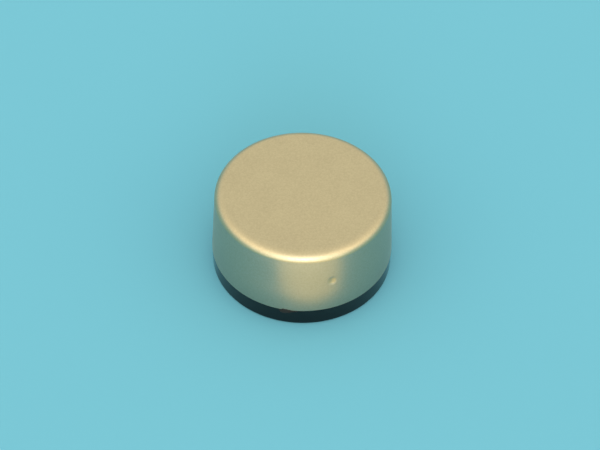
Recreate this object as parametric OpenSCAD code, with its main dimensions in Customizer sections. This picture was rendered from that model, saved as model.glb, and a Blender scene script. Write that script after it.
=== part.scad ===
// Push-on control knob. A satin aluminium cap is glued over a black moulded insert, whose flange
// shows below the cap's rim. The insert's split boss takes a splined shaft, and a steel spring ring
// round the boss keeps it gripping. Sizes in millimetres. The origin is the middle of the underside,
// Z runs up the shaft's axis, and the front is towards -Y.

/* [Cap] */
// Diameter of the cap across its open rim
cap_d = 30; // [26:0.5:40]
// Height of the cap from its rim to its flat top
cap_h = 12.5; // [10:0.5:18]
// Draft of the cap's side, in degrees from upright
cap_draft = 3; // [0:0.25:5]
// Radius of the rounded top edge
edge_r = 1.6; // [0.8:0.1:2.4]
// Thickness of the side wall at its thinnest, just below the rounded edge
cap_wall = 1.5; // [1.1:0.1:2.2]
// Thickness of the cap's top
cap_top_t = 2.2; // [1.4:0.1:3]
// Radius of the corner inside, between the bore and the top
bore_corner_r = 0.6; // [0.2:0.1:1]
// Break on the two edges of the rim
rim_break = 0.2; // [0.05:0.05:0.4]

/* [Index dimple] */
// Width of the dimple across the side
dimple_w = 1.3; // [0.8:0.1:1.6]
// Length of the dimple up the side
dimple_l = 2.1; // [1.7:0.1:3]
// Depth of the dimple
dimple_depth = 0.42; // [0.2:0.02:0.6]
// Height of the dimple's middle above the rim
dimple_z = 6.3; // [3:0.1:8]
// Angle of the dimple round from the front, to the right
dimple_angle = 19.7; // [-180:0.1:180]

/* [Insert] */
// Height of the flange that shows below the rim
flange_h = 3.3; // [2.4:0.1:5]
// How far the flange stays inside the rim's edge
flange_setback = 0.05; // [0:0.05:0.5]
// Radius of the flange's lower edge
foot_r = 0.4; // [0.1:0.05:0.6]
// Wall thickness of the moulding
insert_wall = 1.4; // [1:0.1:1.8]
// Gap for the glue between the spigot and the cap's bore
glue_gap = 0.08; // [0.04:0.02:0.2]
// Lead-in on the spigot's upper edge
spigot_lead = 0.6; // [0.2:0.1:1]
// Free height between the insert's web and the cap's top
web_gap = 0.4; // [0.2:0.1:1]
// Thickness of each rib between the boss and the spigot
rib_t = 1; // [0.6:0.1:1.6]
// How far each rib reaches down from the web at the boss
rib_boss_h = 3; // [1:0.5:4]
// How far each rib reaches down from the web at the spigot
rib_wall_h = 5.5; // [2:0.5:7]

/* [Boss] */
// Diameter of the shaft that the boss takes
shaft_d = 6; // [5:0.1:6.5]
// Clearance all round between the shaft and the boss's bore
shaft_gap = 0.05; // [0.02:0.01:0.1]
// Wall thickness of the boss
boss_wall = 2; // [1.6:0.1:2.6]
// How far the boss's end stays above the underside
boss_inset = 1; // [0.4:0.1:2]
// Thickness left above the blind bore
bore_roof = 2.2; // [1.6:0.1:3]
// Lead-in at the bore's mouth
bore_lead = 0.4; // [0.2:0.1:0.7]
// Number of splines round the bore
spline_count = 18; // [12:1:20]
// Width of each spline groove at the bore
spline_w = 0.4; // [0.2:0.05:0.5]
// Depth of each spline groove
spline_depth = 0.22; // [0.1:0.02:0.3]
// Width of the slot that splits the boss
slot_w = 1; // [0.6:0.1:1.6]
// Unsplit height of the boss between the slot and the bore's blind end
slot_land = 3.4; // [2:0.2:5]

/* [Spring ring] */
// Thickness of the ring's strip
ring_t = 0.5; // [0.3:0.05:0.7]
// Width of the ring's strip along the boss
ring_w = 2.4; // [1.6:0.1:3]
// Opening between the ring's two ends
ring_opening = 1.4; // [0.8:0.1:2]
// Depth of the groove that holds the ring on the boss
groove_depth = 0.3; // [0.15:0.05:0.5]
// Height of the ring above the boss's end
ring_rise = 1; // [0.6:0.1:2]
// Clearance of the ring in its groove
ring_gap = 0.03; // [0.02:0.01:0.08]

/* [Hidden] */
$fn = 96;
// Overlap of cutters past the faces they cut, and of ribs into the walls they join
bite = 0.2;

// Cap: heights above the rim
cap_r = cap_d / 2;
edge_z = cap_h - edge_r;
edge_centre_r = cap_r - (edge_r + edge_z * sin(cap_draft)) / cos(cap_draft);
side_top_r = edge_centre_r + edge_r * cos(cap_draft);
side_top_z = edge_z + edge_r * sin(cap_draft);
bore_r = side_top_r - cap_wall;
bore_h = cap_h - cap_top_t;
side_r_at_break = cap_r - rim_break * tan(cap_draft);

// Dimple: a ball-nosed cutter moved up along the side
ball_r = (pow(dimple_w / 2, 2) + pow(dimple_depth, 2)) / (2 * dimple_depth);
dimple_travel = dimple_l - dimple_w;
dimple_side_r = cap_r - dimple_z * tan(cap_draft);

// Insert: heights above the underside
flange_r = cap_r - flange_setback;
flange_in_r = flange_r - insert_wall;
shelf_z = flange_h - insert_wall;
spigot_r = bore_r - glue_gap;
spigot_in_r = spigot_r - insert_wall;
web_top_z = flange_h + bore_h - web_gap;
web_z = web_top_z - insert_wall;

// Boss and its bore
shaft_bore_r = shaft_d / 2 + shaft_gap;
boss_r = shaft_bore_r + boss_wall;
bore_top_z = web_top_z - bore_roof;
slot_top_z = bore_top_z - slot_land;

// Spring ring
groove_r = boss_r - groove_depth;
ring_in_r = groove_r + ring_gap;
ring_z = boss_inset + ring_rise;
ring_edge = ring_t / 5;
ring_open_angle = 2 * asin(ring_opening / 2 / (ring_in_r + ring_t / 2));

// Half section of the cap's outside, with a true arc at the top edge
module cap_outline() {
    polygon([
        [0, 0],
        [cap_r - rim_break, 0],
        [side_r_at_break, rim_break],
        [side_top_r, side_top_z],
        [edge_centre_r, cap_h],
        [0, cap_h]
    ]);
    translate([edge_centre_r, edge_z])
        circle(edge_r);
}

// Half section of the cap's bore, with a true arc in its corner and a break at its mouth
module cap_bore_outline() {
    polygon([
        [0, -bite],
        [bore_r + rim_break + bite, -bite],
        [bore_r, rim_break],
        [bore_r, bore_h - bore_corner_r],
        [bore_r - bore_corner_r, bore_h],
        [0, bore_h]
    ]);
    translate([bore_r - bore_corner_r, bore_h - bore_corner_r])
        circle(bore_corner_r);
}

// The ball-nosed cut of the index dimple, in the cap's own heights
module dimple_cut() {
    rotate([0, 0, dimple_angle - 90])
        translate([dimple_side_r, 0, dimple_z])
            rotate([0, -cap_draft, 0])
                translate([ball_r - dimple_depth, 0, -dimple_travel / 2]) {
                    sphere(ball_r);
                    cylinder(h = dimple_travel, r = ball_r);
                    translate([0, 0, dimple_travel])
                        sphere(ball_r);
                }
}

module cap() {
    color("#cdbb8c")
        translate([0, 0, flange_h])
            difference() {
                rotate_extrude()
                    difference() {
                        cap_outline();
                        cap_bore_outline();
                    }
                dimple_cut();
            }
}

// Half section of the upright flange, with a true arc at its foot
module flange_outline() {
    polygon([
        [flange_in_r, 0],
        [flange_r - foot_r, 0],
        [flange_r, foot_r],
        [flange_r, flange_h],
        [flange_in_r, flange_h]
    ]);
    translate([flange_r - foot_r, foot_r])
        circle(foot_r);
}

// Half section of the shelf under the rim, the spigot and the web that closes it
module spigot_outline() {
    translate([spigot_in_r, shelf_z])
        square([flange_in_r + bite - spigot_in_r, insert_wall]);
    polygon([
        [spigot_in_r, shelf_z],
        [spigot_r, shelf_z],
        [spigot_r, web_top_z - spigot_lead],
        [spigot_r - spigot_lead, web_top_z],
        [0, web_top_z],
        [0, web_z],
        [spigot_in_r, web_z]
    ]);
}

// Half section of the boss, solid, with a break on its end
module boss_outline() {
    polygon([
        [0, boss_inset],
        [boss_r - bore_lead, boss_inset],
        [boss_r, boss_inset + bore_lead],
        [boss_r, web_z + bite],
        [0, web_z + bite]
    ]);
}

// One rib, deeper at the spigot than at the boss so that the split end can spring
module rib() {
    rotate([90, 0, 0])
        translate([0, 0, -rib_t / 2])
            linear_extrude(rib_t)
                polygon([
                    [boss_r - bite, web_z - rib_boss_h],
                    [boss_r, web_z - rib_boss_h],
                    [spigot_in_r, web_z - rib_wall_h],
                    [spigot_in_r + bite, web_z - rib_wall_h],
                    [spigot_in_r + bite, web_z + bite],
                    [boss_r - bite, web_z + bite]
                ]);
}

// Section of the splined bore
module bore_section() {
    circle(shaft_bore_r);
    for (i = [0 : spline_count - 1])
        rotate((i + 0.5) * 360 / spline_count)
            polygon([
                [shaft_bore_r - bite, -spline_w / 2],
                [sqrt(pow(shaft_bore_r, 2) - pow(spline_w / 2, 2)), -spline_w / 2],
                [shaft_bore_r + spline_depth, 0],
                [sqrt(pow(shaft_bore_r, 2) - pow(spline_w / 2, 2)), spline_w / 2],
                [shaft_bore_r - bite, spline_w / 2]
            ]);
}

// The blind bore with its lead-in
module bore_cut() {
    translate([0, 0, boss_inset - bite])
        linear_extrude(bore_top_z - boss_inset + bite)
            bore_section();
    translate([0, 0, boss_inset - bite])
        cylinder(h = bore_lead + spline_depth + bite,
                 r1 = shaft_bore_r + spline_depth + bore_lead + bite,
                 r2 = shaft_bore_r);
}

// The slot that splits the boss's lower end in two, with a round root
module slot_cut() {
    slot_half_l = boss_r + bite;
    translate([-slot_half_l, -slot_w / 2, boss_inset - bite])
        cube([2 * slot_half_l, slot_w, slot_top_z - slot_w / 2 - boss_inset + bite]);
    translate([-slot_half_l, 0, slot_top_z - slot_w / 2])
        rotate([0, 90, 0])
            cylinder(h = 2 * slot_half_l, r = slot_w / 2);
}

// The groove round the boss that keeps the spring ring in place
module groove_cut() {
    translate([0, 0, ring_z - ring_gap])
        rotate_extrude()
            translate([groove_r, 0])
                square([groove_depth + bite, ring_w + 2 * ring_gap]);
}

module insert() {
    color("#16191b")
        difference() {
            union() {
                rotate_extrude() {
                    flange_outline();
                    spigot_outline();
                    boss_outline();
                }
                for (i = [0 : 3])
                    rotate([0, 0, 45 + 90 * i])
                        rib();
            }
            bore_cut();
            slot_cut();
            groove_cut();
        }
}

// An open ring of flat strip with broken edges, its opening in line with the boss's slot
module spring_ring() {
    color("#9a9ea3")
        translate([0, 0, ring_z])
            rotate_extrude(angle = 360 - ring_open_angle, start = ring_open_angle / 2)
                translate([ring_in_r, 0])
                    polygon([
                        [ring_edge, 0],
                        [ring_t - ring_edge, 0],
                        [ring_t, ring_edge],
                        [ring_t, ring_w - ring_edge],
                        [ring_t - ring_edge, ring_w],
                        [ring_edge, ring_w],
                        [0, ring_w - ring_edge],
                        [0, ring_edge]
                    ]);
}

cap();
insert();
spring_ring();
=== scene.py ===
"""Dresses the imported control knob.

A bead-blasted aluminium cap with a turned side is glued over a black moulded insert, which holds a spring ring.
"""

import math

import bmesh
import bpy
from bpy.props import FloatProperty, FloatVectorProperty, IntProperty, PointerProperty, StringProperty
from mathutils import Matrix, Vector


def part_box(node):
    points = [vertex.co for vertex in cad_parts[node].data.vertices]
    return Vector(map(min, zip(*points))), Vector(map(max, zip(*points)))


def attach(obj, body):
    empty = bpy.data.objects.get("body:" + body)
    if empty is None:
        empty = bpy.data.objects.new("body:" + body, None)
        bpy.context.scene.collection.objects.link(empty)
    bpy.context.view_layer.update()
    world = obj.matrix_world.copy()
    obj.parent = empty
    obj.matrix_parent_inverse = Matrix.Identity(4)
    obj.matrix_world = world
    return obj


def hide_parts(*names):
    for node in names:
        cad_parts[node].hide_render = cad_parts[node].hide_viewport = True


bl_info = {
    "name": "Control Knob",
    "version": (1, 0, 0),
    "blender": (4, 5, 0),
    "location": "View3D > Sidebar > Knob",
    "description": "Turns, moulds and lights a push-on control knob on its packed frame",
    "category": "Object",
}

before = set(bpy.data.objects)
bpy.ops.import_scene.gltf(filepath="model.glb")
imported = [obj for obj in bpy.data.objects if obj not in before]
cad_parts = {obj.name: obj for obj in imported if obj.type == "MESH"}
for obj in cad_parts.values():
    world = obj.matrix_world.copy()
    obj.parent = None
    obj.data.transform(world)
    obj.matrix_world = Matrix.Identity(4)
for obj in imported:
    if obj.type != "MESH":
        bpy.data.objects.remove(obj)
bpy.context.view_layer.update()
CAP_LOW, CAP_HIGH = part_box("cap")
INSERT_LOW, INSERT_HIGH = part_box("insert")

MM = 0.001
# Tells points of the same height or radius apart from the next ones
NEAR = 0.004 * MM
# A face whose normal reaches this far along a direction faces it, and one that stays under this is side on
FACING, SIDE_ON = 0.9, 0.1

# The cap's side leans in by this many degrees, and its CAD solid is widest at the top of the rim's break
DRAFT = 3
CAD_RIM_BREAK = 0.2 * MM
# Faces across the rounded top edge, the bore's corner and the rim's breaks
EDGE_STEPS, CORNER_STEPS, RIM_STEPS = 16, 5, 3
# Faces round the glue smear's section and along it
GLUE_SIDES, GLUE_STEPS = 24, 48

FLOOR_RADIUS, FLOOR_SIDES = 2.0, 128
FILM_WIDTH_MM = 36
# The two cards of light on the floor in front: the middle of each, then its width and depth
NEAR_CARD = ((5.5 * MM, -33.7 * MM), (37 * MM, 30.6 * MM))
FAR_CARD = ((0, -150 * MM), (300 * MM, 200 * MM))
CARD_Z = 1 * MM


# Sizes and colours that a user would change


def length(name, description, default):
    """A length, in metres."""
    return FloatProperty(name=name, description=description, default=default, precision=5, unit="LENGTH")


def angle(name, description, degrees):
    """An angle, given in degrees."""
    return FloatProperty(name=name, description=description, default=math.radians(degrees), subtype="ANGLE")


def tint(name, description, default):
    """A colour, as an sRGB hex value."""
    return StringProperty(name=name, description=description, default=default)


def share(name, description, default):
    """A number from 0 to 1."""
    return FloatProperty(name=name, description=description, default=default, min=0, max=1, subtype="FACTOR")


def brightness(name, description, default):
    """How bright a light looks at its brightest, where 1 is plain white."""
    return FloatProperty(name=name, description=description, default=default, min=0)


class KnobCapSettings(bpy.types.PropertyGroup):
    rim_radius: length(
        "Rim radius", "Radius of the cap across its open rim",
        CAP_HIGH.x + CAD_RIM_BREAK * math.tan(math.radians(DRAFT)))
    rim_z: length("Rim height", "Height of the rim above the underside", CAP_LOW.z)
    top_z: length("Top height", "Height of the flat top above the underside", CAP_HIGH.z)
    draft: angle("Draft", "Lean of the side from upright", DRAFT)
    edge_radius: length("Edge radius", "Radius of the rounded top edge", 1.6 * MM)
    bore_radius: length("Bore radius", "Radius of the bore that takes the insert", 12.924 * MM)
    top_thickness: length("Top thickness", "Thickness of the flat top", 2.2 * MM)
    bore_corner: length("Bore corner", "Radius inside, between the bore and the top", 0.6 * MM)
    rim_break: length("Rim break", "Rounding of the rim's two edges", 0.06 * MM)
    segments: IntProperty(name="Segments", description="Faces round the cap", default=1024, min=64)
    dimple_width: length("Dimple width", "Width of the index dimple across the side", 1.3 * MM)
    dimple_length: length("Dimple length", "Length of the index dimple up the side", 2.1 * MM)
    dimple_depth: length("Dimple depth", "Depth of the index dimple", 0.13 * MM)
    dimple_rise: length("Dimple height", "Height of the dimple's middle above the rim", 6.3 * MM)
    dimple_angle: angle("Dimple angle", "Place of the dimple, round to the right from the front", 19.7)
    colour: tint("Anodised colour", "Champagne dye in the anodised layer", "#C4B492")
    colour_deep: tint("Deeper colour", "Where the dye has taken a little more", "#B9A989")
    roughness: share("Roughness", "How far the blasted skin spreads light", 0.42)
    peen: length("Peen size", "Width of one mark of the blasting beads, as drawn", 0.3 * MM)
    # The side's colours are paler and greyer than the top's: painted light, standing in for the cooler light
    # that the side reflects
    side_colour: tint("Side colour", "Dye on the turned side, where it is paler", "#B6AF9C")
    side_colour_deep: tint("Deeper side colour", "Where the dye has taken a little more", "#AAA28E")
    side_roughness: share("Side roughness", "How far the turned side spreads light", 0.4)
    side_stretch: share("Side stretch", "How far the turned side draws lights out upright", 0.2)
    turning: length("Turning lines", "Distance between the lines of the turned side, as drawn", 0.2 * MM)


class KnobInsertSettings(bpy.types.PropertyGroup):
    colour: tint("Moulding colour", "Black of the moulded insert", "#030506")
    ring_colour: tint("Ring colour", "Bare steel of the spring ring", "#B4B6B8")


class KnobGlueSettings(bpy.types.PropertyGroup):
    start: angle("Start", "Where the smear begins, round to the right from the front", -20)
    sweep: angle("Sweep", "How far round the smear goes", 18.5)
    middle_z: length("Middle height", "Height of the smear's middle above the underside", 2.95 * MM)
    height: length("Height", "Height of the smear at its thickest", 1.15 * MM)
    thickness: length("Thickness", "Thickness of the smear at its thickest", 0.3 * MM)
    colour: tint("Glue colour", "Dried glue, thick", "#0F0F0E")
    thin_colour: tint("Thin colour", "Dried glue, thin", "#1A1916")


class KnobStageSettings(bpy.types.PropertyGroup):
    floor_colour: tint("Floor colour", "Pale card that the knob stands on", "#68ACC2")
    camera_elevation: angle("Camera elevation", "Height of the camera above the horizon", 48.2487)
    camera_distance: length("Camera distance", "From the middle of the knob's underside", 282.65 * MM)
    camera_roll: angle("Camera roll", "Turn of the camera about its own axis", 1.2418)
    camera_lens: FloatProperty(
        name="Lens", description="Focal length on a 36 mm wide film", default=100.34, unit="CAMERA")
    camera_aim: FloatVectorProperty(
        name="Camera aim", description="Point in the middle of the picture",
        default=(-0.40 * MM, 3.84 * MM, 3.42 * MM), subtype="TRANSLATION", unit="LENGTH")
    room_level: brightness("Room light", "Brightness of the room above the knob", 1.07)
    room_colour: tint("Room colour", "Warm light of the room above the knob", "#FCFFF3")
    horizon_colour: tint("Horizon colour", "Cool light that comes in low from all round", "#96C6DC")
    front_level: brightness("Front light", "Brightness low in front", 6.5)
    front_colour: tint("Front colour", "Light low in front", "#F4F9FF")
    wide_level: brightness("Wide light", "Brightness low on both sides of the front", 1.5)
    wide_colour: tint("Wide colour", "Warm light low on both sides of the front", "#FFEED2")
    side_level: brightness("Side light", "Brightness on the left and right", 0.5)
    side_colour: tint("Side colour", "Warm light from the left and right", "#FFEAC4")
    near_card_level: brightness("Near card light", "Brightness of the card just in front", 0.74)
    near_card_colour: tint("Near card colour", "Warm light from the card just in front", "#FFC000")
    far_card_level: brightness("Far card light", "Brightness of the card further in front", 2.6)
    far_card_colour: tint("Far card colour", "Light from the card further in front", "#FFEFD4")


# Modelling aids


def clear_selection():
    """Leaves nothing selected, so that the next operator acts on the new piece alone."""
    if bpy.context.object and bpy.context.object.mode != "OBJECT":
        bpy.ops.object.mode_set(mode="OBJECT")
    bpy.ops.object.select_all(action="DESELECT")


def new_piece(name):
    """Names the primitive just added, moves its place into its mesh and opens it for editing."""
    piece = bpy.context.object
    piece.name = piece.data.name = name
    bpy.ops.object.transform_apply(location=True, rotation=True, scale=True)
    bpy.ops.object.mode_set(mode="EDIT")
    return piece


def middle(part):
    """The middle of a face or edge, or the place of a vertex."""
    if isinstance(part, bmesh.types.BMVert):
        return part.co
    return sum((v.co for v in part.verts), Vector()) / len(part.verts)


def select(piece, kind, wanted):
    """In edit mode, leaves selected only the vertices, edges or faces that wanted() takes."""
    bpy.ops.mesh.select_mode(type={"verts": "VERT", "edges": "EDGE", "faces": "FACE"}[kind])
    bpy.ops.mesh.select_all(action="DESELECT")
    shape = bmesh.from_edit_mesh(piece.data)
    taken = [part for part in getattr(shape, kind) if wanted(part)]
    if not taken:
        raise RuntimeError(f"nothing to select among the {kind} of {piece.name}")
    for part in taken:
        part.select_set(True)
    shape.select_flush_mode()
    bmesh.update_edit_mesh(piece.data)


def level_edges(z):
    """A test for edges that lie at one height."""
    return lambda edge: all(abs(v.co.z - z) < NEAR for v in edge.verts)


def round_edges(offset, steps):
    """In edit mode, rounds the selected edges with this many faces across."""
    bpy.ops.mesh.bevel(
        offset=offset, offset_type="OFFSET", segments=steps, profile=0.5, affect="EDGES", clamp_overlap=False)


def finish_mesh(piece, body, smooth_angle=math.radians(35)):
    """Shades a piece smooth, with the large faces setting the normals, and makes it ride on a body."""
    bpy.ops.object.mode_set(mode="OBJECT")
    bpy.ops.object.shade_smooth_by_angle(angle=smooth_angle)
    modifier = piece.modifiers.new("Even shading", "WEIGHTED_NORMAL")
    modifier.keep_sharp = True
    bpy.ops.object.modifier_apply(modifier=modifier.name)
    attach(piece, body)


# Materials


def linear(hex_colour):
    """An sRGB hex value as a linear colour with alpha."""
    parts = [int(hex_colour[i:i + 2], 16) / 255 for i in (1, 3, 5)]
    return (*(c / 12.92 if c <= 0.04045 else ((c + 0.055) / 1.055) ** 2.4 for c in parts), 1.0)


def add_node(tree, kind, settings=None, links=None):
    """Adds a node, sets its properties and sockets, and links its inputs to other nodes' outputs."""
    node = tree.nodes.new(kind)
    for name, value in (settings or {}).items():
        if isinstance(name, int) or name in node.inputs:
            node.inputs[name].default_value = value
        else:
            setattr(node, name, value)
    for name, source in (links or {}).items():
        tree.links.new(source, node.inputs[name])
    return node


def new_material(name):
    """An empty material and its node tree."""
    material = bpy.data.materials.new(name)
    material.use_nodes = True
    material.node_tree.nodes.clear()
    return material, material.node_tree


def give(piece, material):
    """Puts one material on the whole piece."""
    if piece.data.materials:
        for index in range(len(piece.data.materials)):
            piece.data.materials[index] = material
    else:
        piece.data.materials.append(material)


def bead_blasted_anodised_aluminium(cap):
    # Aluminium, bead-blasted and then anodised champagne gold. The beads leave fine, even marks with no
    # direction, so highlights are wide and soft with a slight sparkle, and the dye tints every reflection.
    # Real marks are about 0.1 mm wide; they are drawn coarser, at the peen size, so that they show.
    material, tree = new_material("bead_blasted_anodised_aluminium")
    place = add_node(tree, "ShaderNodeTexCoord").outputs["Object"]
    peen = add_node(
        tree, "ShaderNodeTexNoise", {"Scale": 1 / cap.peen, "Detail": 2.0, "Roughness": 0.6}, {"Vector": place})
    # The dye takes unevenly over a few millimetres, and from mark to mark
    dye = add_node(tree, "ShaderNodeTexNoise", {"Scale": 1 / (4 * MM), "Detail": 3.0}, {"Vector": place})
    taken = add_node(
        tree, "ShaderNodeMath", {"operation": "MULTIPLY_ADD", 1: 0.35},
        {0: dye.outputs["Fac"], 2: peen.outputs["Fac"]})
    depth = add_node(
        tree, "ShaderNodeMapRange", {"From Min": 0.45, "From Max": 0.9}, {"Value": taken.outputs["Value"]})
    colour = add_node(
        tree, "ShaderNodeMix", {"data_type": "RGBA", 6: linear(cap.colour), 7: linear(cap.colour_deep)},
        {0: depth.outputs["Result"]})
    spread = add_node(
        tree, "ShaderNodeMapRange",
        {"From Min": 0.3, "From Max": 0.7, "To Min": cap.roughness - 0.04, "To Max": cap.roughness + 0.04},
        {"Value": peen.outputs["Fac"]})
    relief = add_node(
        tree, "ShaderNodeBump", {"Strength": 0.3, "Distance": 0.008 * MM}, {"Height": peen.outputs["Fac"]})
    shader = add_node(
        tree, "ShaderNodeBsdfPrincipled", {"Metallic": 1.0},
        {"Base Color": colour.outputs[2], "Roughness": spread.outputs["Result"],
         "Normal": relief.outputs["Normal"]})
    add_node(tree, "ShaderNodeOutputMaterial", links={"Surface": shader.outputs["BSDF"]})
    return material


def turned_anodised_aluminium(cap):
    # The same aluminium where it is fine-turned before anodising. The tool's lines run round the cap, so a
    # light is drawn out upright into a soft streak. Real lines are about 0.05 mm apart; they are drawn coarser
    # so that they show. Its colours are paler and greyer than the top's: painted light, standing in for the
    # cooler light that the side reflects.
    material, tree = new_material("turned_anodised_aluminium")
    place = add_node(tree, "ShaderNodeTexCoord").outputs["Object"]
    round_cap = add_node(tree, "ShaderNodeMapping", {"Scale": (0.02, 0.02, 1.0)}, {"Vector": place})
    lines = add_node(
        tree, "ShaderNodeTexNoise", {"Scale": 1 / cap.turning, "Detail": 2.0},
        {"Vector": round_cap.outputs["Vector"]})
    grain = add_node(
        tree, "ShaderNodeTexNoise", {"Scale": 1 / cap.peen, "Detail": 2.0, "Roughness": 0.6}, {"Vector": place})
    depth = add_node(
        tree, "ShaderNodeMapRange", {"From Min": 0.25, "From Max": 0.75}, {"Value": grain.outputs["Fac"]})
    colour = add_node(
        tree, "ShaderNodeMix",
        {"data_type": "RGBA", 6: linear(cap.side_colour), 7: linear(cap.side_colour_deep)},
        {0: depth.outputs["Result"]})
    spread = add_node(
        tree, "ShaderNodeMapRange",
        {"From Min": 0.3, "From Max": 0.7,
         "To Min": cap.side_roughness - 0.03, "To Max": cap.side_roughness + 0.03},
        {"Value": lines.outputs["Fac"]})
    relief = add_node(
        tree, "ShaderNodeBump", {"Strength": 0.1, "Distance": 0.004 * MM}, {"Height": lines.outputs["Fac"]})
    along = add_node(tree, "ShaderNodeTangent", {"direction_type": "RADIAL", "axis": "Z"})
    shader = add_node(
        tree, "ShaderNodeBsdfPrincipled",
        {"Metallic": 1.0, "Anisotropic": cap.side_stretch, "Anisotropic Rotation": 0.25},
        {"Base Color": colour.outputs[2], "Roughness": spread.outputs["Result"],
         "Normal": relief.outputs["Normal"], "Tangent": along.outputs["Tangent"]})
    add_node(tree, "ShaderNodeOutputMaterial", links={"Surface": shader.outputs["BSDF"]})
    return material


def moulded_gloss_abs(insert):
    # ABS from a polished mould: near black, with sharp but slightly wavy reflections, and faint rub marks.
    # Its IOR is matched to the knob's dark band, a little under the 1.5 of plain ABS.
    material, tree = new_material("moulded_gloss_abs")
    place = add_node(tree, "ShaderNodeTexCoord").outputs["Object"]
    # Shrinkage leaves a soft wave about 1.5 mm long in the skin
    wave = add_node(tree, "ShaderNodeTexNoise", {"Scale": 1 / (1.5 * MM), "Detail": 1.0}, {"Vector": place})
    # Rubbing and dust dull the gloss in specks of about 0.4 mm
    rub = add_node(
        tree, "ShaderNodeTexNoise", {"Scale": 1 / (0.4 * MM), "Detail": 4.0, "Roughness": 0.65},
        {"Vector": place})
    gloss = add_node(
        tree, "ShaderNodeMapRange", {"From Min": 0.35, "From Max": 0.75, "To Min": 0.08, "To Max": 0.18},
        {"Value": rub.outputs["Fac"]})
    relief = add_node(
        tree, "ShaderNodeBump", {"Strength": 0.15, "Distance": 0.02 * MM}, {"Height": wave.outputs["Fac"]})
    shader = add_node(
        tree, "ShaderNodeBsdfPrincipled", {"Base Color": linear(insert.colour), "IOR": 1.42},
        {"Roughness": gloss.outputs["Result"], "Normal": relief.outputs["Normal"]})
    add_node(tree, "ShaderNodeOutputMaterial", links={"Surface": shader.outputs["BSDF"]})
    return material


def dried_contact_adhesive(glue):
    # Solvent adhesive, dried to a dull dark skin: blacker where it is thick, with weak reflections and a
    # few shinier spots. Its lumps are about 0.5 mm across.
    material, tree = new_material("dried_contact_adhesive")
    place = add_node(tree, "ShaderNodeTexCoord").outputs["Object"]
    lump = add_node(tree, "ShaderNodeTexNoise", {"Scale": 1 / (0.5 * MM), "Detail": 3.0}, {"Vector": place})
    colour = add_node(
        tree, "ShaderNodeMix", {"data_type": "RGBA", 6: linear(glue.colour), 7: linear(glue.thin_colour)},
        {0: lump.outputs["Fac"]})
    spread = add_node(
        tree, "ShaderNodeMapRange", {"From Min": 0.3, "From Max": 0.7, "To Min": 0.5, "To Max": 0.8},
        {"Value": lump.outputs["Fac"]})
    relief = add_node(
        tree, "ShaderNodeBump", {"Strength": 0.4, "Distance": 0.03 * MM}, {"Height": lump.outputs["Fac"]})
    shader = add_node(
        tree, "ShaderNodeBsdfPrincipled", {"IOR": 1.35},
        {"Base Color": colour.outputs[2], "Roughness": spread.outputs["Result"],
         "Normal": relief.outputs["Normal"]})
    add_node(tree, "ShaderNodeOutputMaterial", links={"Surface": shader.outputs["BSDF"]})
    return material


def rolled_spring_steel(insert):
    # Cold-rolled spring strip, bent round: bright grey, with fine lines that run along the strip, so they
    # circle the ring. Real lines are about 0.02 mm apart; they are drawn at 0.1 mm so that they show.
    material, tree = new_material("rolled_spring_steel")
    place = add_node(tree, "ShaderNodeTexCoord").outputs["Object"]
    along = add_node(tree, "ShaderNodeMapping", {"Scale": (0.05, 0.05, 1.0)}, {"Vector": place})
    lines = add_node(
        tree, "ShaderNodeTexNoise", {"Scale": 1 / (0.1 * MM), "Detail": 2.0},
        {"Vector": along.outputs["Vector"]})
    spread = add_node(
        tree, "ShaderNodeMapRange", {"From Min": 0.3, "From Max": 0.7, "To Min": 0.24, "To Max": 0.4},
        {"Value": lines.outputs["Fac"]})
    relief = add_node(
        tree, "ShaderNodeBump", {"Strength": 0.25, "Distance": 0.01 * MM}, {"Height": lines.outputs["Fac"]})
    shader = add_node(
        tree, "ShaderNodeBsdfPrincipled", {"Metallic": 1.0, "Base Color": linear(insert.ring_colour)},
        {"Roughness": spread.outputs["Result"], "Normal": relief.outputs["Normal"]})
    add_node(tree, "ShaderNodeOutputMaterial", links={"Surface": shader.outputs["BSDF"]})
    return material


def pale_aqua_card(stage):
    # Matt card: an even pale colour, with faint fibres about 0.8 mm long that keep it from looking like
    # plain paint.
    material, tree = new_material("pale_aqua_card")
    place = add_node(tree, "ShaderNodeTexCoord").outputs["Object"]
    fibre = add_node(tree, "ShaderNodeTexNoise", {"Scale": 1 / (0.8 * MM), "Detail": 3.0}, {"Vector": place})
    relief = add_node(
        tree, "ShaderNodeBump", {"Strength": 0.2, "Distance": 0.05 * MM}, {"Height": fibre.outputs["Fac"]})
    shader = add_node(
        tree, "ShaderNodeBsdfPrincipled",
        {"Base Color": linear(stage.floor_colour), "Roughness": 0.9, "Specular IOR Level": 0.2},
        {"Normal": relief.outputs["Normal"]})
    add_node(tree, "ShaderNodeOutputMaterial", links={"Surface": shader.outputs["BSDF"]})
    return material


# Pieces


def dimple_place(cap):
    """The way from the axis out to the index dimple, then its distance from the axis and its height."""
    towards = Vector((math.sin(cap.dimple_angle), -math.cos(cap.dimple_angle), 0))
    return towards, cap.rim_radius - cap.dimple_rise * math.tan(cap.draft), cap.rim_z + cap.dimple_rise


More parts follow.
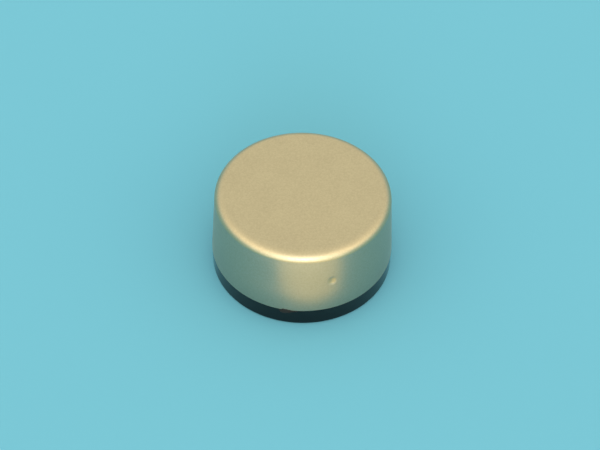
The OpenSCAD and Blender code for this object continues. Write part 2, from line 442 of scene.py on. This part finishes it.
class KNOB_OT_turn_cap(bpy.types.Operator):
    """Turns the cap from a round bar, bores it, rounds its edges and presses in the index dimple"""

    bl_idname = "knob.turn_cap"
    bl_label = "Turn the Cap"
    bl_options = {"REGISTER", "UNDO"}

    def execute(self, context):
        cap = context.scene.knob_cap
        height = cap.top_z - cap.rim_z
        corner_radius = cap.rim_radius - height * math.tan(cap.draft)
        bore_top = cap.top_z - cap.top_thickness
        at_rim = level_edges(cap.rim_z)

        def round_rim(edge):
            """True on the rim's two circles, and not on the edges that run across it."""
            first, second = edge.verts
            return at_rim(edge) and abs(first.co.xy.length - second.co.xy.length) < NEAR

        clear_selection()
        # A column of vertices stands on the dimple's middle
        bpy.ops.mesh.primitive_cylinder_add(
            vertices=cap.segments, radius=cap.rim_radius, depth=height, end_fill_type="NGON",
            location=(0, 0, cap.rim_z + height / 2), rotation=(0, 0, cap.dimple_angle))
        piece = new_piece("knob_cap")

        # The draft of the side, then the rounded top edge
        select(piece, "faces", lambda f: f.normal.z > FACING)
        bpy.ops.transform.resize(
            value=(corner_radius / cap.rim_radius,) * 2 + (1,), center_override=(0, 0, cap.top_z))
        select(piece, "edges", level_edges(cap.top_z))
        round_edges(cap.edge_radius / math.tan((math.pi / 2 + cap.draft) / 2), EDGE_STEPS)

        # The bore, sunk from the rim, with its corner and the rim's edges rounded
        select(piece, "faces", lambda f: f.normal.z < -FACING)
        bpy.ops.mesh.inset(thickness=cap.rim_radius - cap.bore_radius, depth=0)
        bpy.ops.mesh.extrude_region_move(TRANSFORM_OT_translate={"value": (0, 0, bore_top - cap.rim_z)})
        select(piece, "edges", level_edges(bore_top))
        round_edges(cap.bore_corner, CORNER_STEPS)
        select(piece, "edges", round_rim)
        round_edges(cap.rim_break, RIM_STEPS)

        self.press_dimple(piece, cap)
        self.face_finishes(piece, cap)
        finish_mesh(piece, "root")
        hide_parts("cap")
        return {"FINISHED"}

    def press_dimple(self, piece, cap):
        """Cuts rows into the side round the dimple's place, and pushes its middle in."""
        towards, side_radius, dimple_z = dimple_place(cap)
        # The patch that is cut into rows reaches this far from the dimple's middle
        patch = cap.dimple_length
        row = 0.1 * MM
        # How far from the middle the push is felt
        spread = cap.dimple_width * 0.66

        def beside(part, reach):
            """True on the outer side, within reach of the dimple's middle to the left and right."""
            spot = middle(part)
            across = spot.x * -towards.y + spot.y * towards.x
            return spot.dot(towards) > side_radius - cap.dimple_width and abs(across) < reach

        def on_patch(face):
            return beside(face, patch) and face.normal.dot(towards) > FACING

        def on_outside(face):
            return abs(face.normal.z) < SIDE_ON and middle(face).xy.length > cap.bore_radius + cap.rim_break

        # The first and last cuts go right round, so that the side is shaded alike all the way
        rows = int(2 * patch / row)
        for i in range(rows + 1):
            select(piece, "faces", on_outside if i in (0, rows) else on_patch)
            bpy.ops.mesh.bisect(
                plane_co=(0, 0, dimple_z - patch + i * row), plane_no=(0, 0, 1), threshold=NEAR / 10)
        travel = (cap.dimple_length - cap.dimple_width) / 2
        select(piece, "verts", lambda v: beside(v, NEAR) and abs(v.co.z - dimple_z) < travel / 2 + NEAR)
        inward = Vector((-towards.x, -towards.y, -math.tan(cap.draft))).normalized()
        bpy.ops.transform.translate(
            value=inward * cap.dimple_depth, use_proportional_edit=True,
            proportional_edit_falloff="SMOOTH", proportional_size=spread)
        # The lip of the dimple is softened by the blasting, this far from its middle
        soft_across, soft_up = patch * 0.7, patch * 0.9
        select(piece, "verts", lambda v: beside(v, soft_across) and abs(v.co.z - dimple_z) < soft_up)
        bpy.ops.mesh.vertices_smooth(factor=0.5, repeat=2)

    def face_finishes(self, piece, cap):
        """The cap is bead-blasted, apart from its turned side between the rim and the rounded edge."""
        give(piece, bead_blasted_anodised_aluminium(cap))
        piece.data.materials.append(turned_anodised_aluminium(cap))
        side_low = cap.rim_z + cap.rim_break
        side_high = cap.top_z - cap.edge_radius * (1 - math.sin(cap.draft))
        wall = (cap.rim_radius - cap.bore_radius) / 4
        towards, side_radius, dimple_z = dimple_place(cap)
        dimple = towards * side_radius + Vector((0, 0, dimple_z))

        def on_side(face):
            """True on the outer side, and not in the dimple."""
            spot = middle(face)
            return (spot.xy.length > cap.bore_radius + wall and side_low - NEAR < spot.z < side_high + NEAR
                    and (spot - dimple).length > cap.dimple_width / 2)

        select(piece, "faces", on_side)
        piece.active_material_index = 1
        bpy.ops.object.material_slot_assign()


class KNOB_OT_smear_glue(bpy.types.Operator):
    """Squeezes a smear of dried glue out from under the cap's rim at the front"""

    bl_idname = "knob.smear_glue"
    bl_label = "Smear the Glue"
    bl_options = {"REGISTER", "UNDO"}

    def execute(self, context):
        glue = context.scene.knob_glue
        wall = INSERT_HIGH.x
        clear_selection()
        bpy.ops.mesh.primitive_circle_add(
            vertices=GLUE_SIDES, radius=1, fill_type="NOTHING",
            rotation=(math.pi / 2, 0, glue.start - math.pi / 2),
            location=(wall * math.sin(glue.start), -wall * math.cos(glue.start), glue.middle_z))
        context.object.scale = (glue.thickness / 2, glue.height / 2, 1)
        piece = new_piece("glue_smear")
        bpy.ops.mesh.select_all(action="SELECT")
        bpy.ops.mesh.spin(steps=GLUE_STEPS, angle=-glue.sweep, center=(0, 0, 0), axis=(0, 0, 1))
        bpy.ops.mesh.select_all(action="SELECT")
        bpy.ops.mesh.fill_holes(sides=0)
        # Both ends thin out to a fifth, up towards the rim
        thin = 0.2
        lift = Vector((0, 0, glue.height * 0.25))
        reach = wall * glue.sweep * 0.55
        for turn in (glue.start, glue.start + glue.sweep):
            end = Vector((wall * math.sin(turn), -wall * math.cos(turn), glue.middle_z))
            along = Vector((math.cos(turn), math.sin(turn), 0))
            select(piece, "verts", lambda v: abs((v.co - end).dot(along)) < NEAR)
            bpy.ops.transform.resize(
                value=(1, thin, thin), center_override=end + lift, use_proportional_edit=True,
                proportional_edit_falloff="SMOOTH", proportional_size=reach)
        # It set unevenly
        bpy.ops.mesh.select_all(action="SELECT")
        bpy.ops.transform.vertex_random(offset=glue.thickness / 4, uniform=0, normal=1, seed=5)
        bpy.ops.mesh.vertices_smooth(factor=0.5, repeat=2)
        bpy.ops.mesh.normals_make_consistent(inside=False)
        give(piece, dried_contact_adhesive(glue))
        finish_mesh(piece, "root", smooth_angle=math.radians(80))
        return {"FINISHED"}


class KNOB_OT_finish_insert(bpy.types.Operator):
    """Gives the moulded insert and the spring ring round its boss their finishes"""

    bl_idname = "knob.finish_insert"
    bl_label = "Finish the Insert and Ring"
    bl_options = {"REGISTER", "UNDO"}

    def execute(self, context):
        insert = context.scene.knob_insert
        give(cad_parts["insert"], moulded_gloss_abs(insert))
        give(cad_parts["spring_ring"], rolled_spring_steel(insert))
        return {"FINISHED"}


class KNOB_OT_set_stage(bpy.types.Operator):
    """Lays the floor and sets up the light and the camera"""

    bl_idname = "knob.set_stage"
    bl_label = "Set the Stage"
    bl_options = {"REGISTER", "UNDO"}

    def execute(self, context):
        stage = context.scene.knob_stage
        clear_selection()
        bpy.ops.mesh.primitive_circle_add(
            vertices=FLOOR_SIDES, radius=FLOOR_RADIUS, fill_type="NGON", location=(0, 0, INSERT_LOW.z))
        floor = context.object
        floor.name = floor.data.name = "floor"
        give(floor, pale_aqua_card(stage))
        self.add_card("near_card", NEAR_CARD, stage.near_card_level, stage.near_card_colour)
        self.add_card("far_card", FAR_CARD, stage.far_card_level, stage.far_card_colour)
        self.light_room(context.scene, stage)
        self.add_camera(context.scene, stage)
        context.scene.view_settings.view_transform = "Standard"
        return {"FINISHED"}

    def add_card(self, name, layout, level, colour):
        """A round card of light that lies in front, facing up: the knob shows it, and the picture doesn't."""
        place, size = layout
        bpy.ops.object.light_add(type="AREA", location=(*place, CARD_Z), rotation=(math.pi, 0, 0))
        card = bpy.context.object
        card.name = card.data.name = name
        card.data.shape = "ELLIPSE"
        card.data.size, card.data.size_y = size
        card.data.energy = level * math.pi * (math.pi / 4 * size[0] * size[1])
        card.data.color = linear(colour)[:3]
        card.visible_camera = False

    def light_room(self, scene, stage):
        """Even light from the room, cooler at the horizon, with wide soft lamps that have no edges."""
        scene.world = bpy.data.worlds.new("room")
        scene.world.use_nodes = True
        tree = scene.world.node_tree
        tree.nodes.clear()
        place = add_node(tree, "ShaderNodeTexCoord").outputs["Generated"]
        height = add_node(tree, "ShaderNodeSeparateXYZ", links={"Vector": place}).outputs["Z"]
        above = add_node(
            tree, "ShaderNodeMapRange",
            {"From Min": 0.0, "From Max": 0.5, "interpolation_type": "SMOOTHSTEP"}, {"Value": height})
        air = add_node(
            tree, "ShaderNodeMix",
            {"data_type": "RGBA", 6: linear(stage.horizon_colour), 7: linear(stage.room_colour)},
            {0: above.outputs["Result"]})
        room = add_node(
            tree, "ShaderNodeBackground", {"Strength": stage.room_level}, {"Color": air.outputs[2]})
        light = room.outputs["Background"]
        # Each lamp: its turn round to the right from the front and its height, in degrees, then how tight it is
        for turn, rise, tightness, level, colour in (
                (0, 8, 16, stage.front_level, stage.front_colour),
                (-45, 16, 8, stage.wide_level, stage.wide_colour),
                (45, 16, 8, stage.wide_level, stage.wide_colour),
                (-90, 20, 7, stage.side_level, stage.side_colour),
                (90, 20, 7, stage.side_level, stage.side_colour)):
            turn, rise = math.radians(turn), math.radians(rise)
            towards = (math.sin(turn) * math.cos(rise), -math.cos(turn) * math.cos(rise), math.sin(rise))
            facing = add_node(
                tree, "ShaderNodeVectorMath", {"operation": "DOT_PRODUCT", 1: towards}, {0: place})
            ahead = add_node(
                tree, "ShaderNodeMath", {"operation": "MAXIMUM", 1: 0.0}, {0: facing.outputs["Value"]})
            fade = add_node(
                tree, "ShaderNodeMath", {"operation": "POWER", 1: tightness}, {0: ahead.outputs["Value"]})
            strength = add_node(
                tree, "ShaderNodeMath", {"operation": "MULTIPLY", 1: level}, {0: fade.outputs["Value"]})
            lamp = add_node(
                tree, "ShaderNodeBackground", {"Color": linear(colour)},
                {"Strength": strength.outputs["Value"]})
            both = add_node(tree, "ShaderNodeAddShader", links={0: light, 1: lamp.outputs["Background"]})
            light = both.outputs["Shader"]
        add_node(tree, "ShaderNodeOutputWorld", links={"Surface": light})

    def add_camera(self, scene, stage):
        """The camera at the photo's viewing angle."""
        rise = stage.camera_elevation
        place = Vector((0, -math.cos(rise), math.sin(rise))) * stage.camera_distance
        bpy.ops.object.camera_add(location=place)
        camera = bpy.context.object
        camera.name = camera.data.name = "camera"
        turn = (Vector(stage.camera_aim) - place).to_track_quat("-Z", "Y").to_matrix()
        camera.rotation_euler = (turn @ Matrix.Rotation(stage.camera_roll, 3, "Z")).to_euler()
        camera.data.sensor_width = FILM_WIDTH_MM
        camera.data.lens = stage.camera_lens
        scene.camera = camera


class KNOB_PT_sidebar(bpy.types.Panel):
    """Lists the knob's sizes, colours and steps"""

    bl_idname = "KNOB_PT_sidebar"
    bl_label = "Control Knob"
    bl_space_type = "VIEW_3D"
    bl_region_type = "UI"
    bl_category = "Knob"

    def draw(self, context):
        for group, kind in SETTINGS.items():
            box = self.layout.box()
            for name in kind.__annotations__:
                box.prop(getattr(context.scene, group), name)
        for step in STEPS:
            self.layout.operator(step.bl_idname)


SETTINGS = {
    "knob_cap": KnobCapSettings, "knob_insert": KnobInsertSettings, "knob_glue": KnobGlueSettings,
    "knob_stage": KnobStageSettings}
STEPS = (KNOB_OT_turn_cap, KNOB_OT_finish_insert, KNOB_OT_smear_glue, KNOB_OT_set_stage)
CLASSES = (*SETTINGS.values(), *STEPS, KNOB_PT_sidebar)


def register():
    for cls in CLASSES:
        bpy.utils.register_class(cls)
    for name, cls in SETTINGS.items():
        setattr(bpy.types.Scene, name, PointerProperty(type=cls))


def unregister():
    for name in SETTINGS:
        delattr(bpy.types.Scene, name)
    for cls in reversed(CLASSES):
        bpy.utils.unregister_class(cls)


def main():
    register()
    bpy.ops.knob.turn_cap()
    bpy.ops.knob.finish_insert()
    bpy.ops.knob.smear_glue()
    bpy.ops.knob.set_stage()


if __name__ == "__main__":
    main()
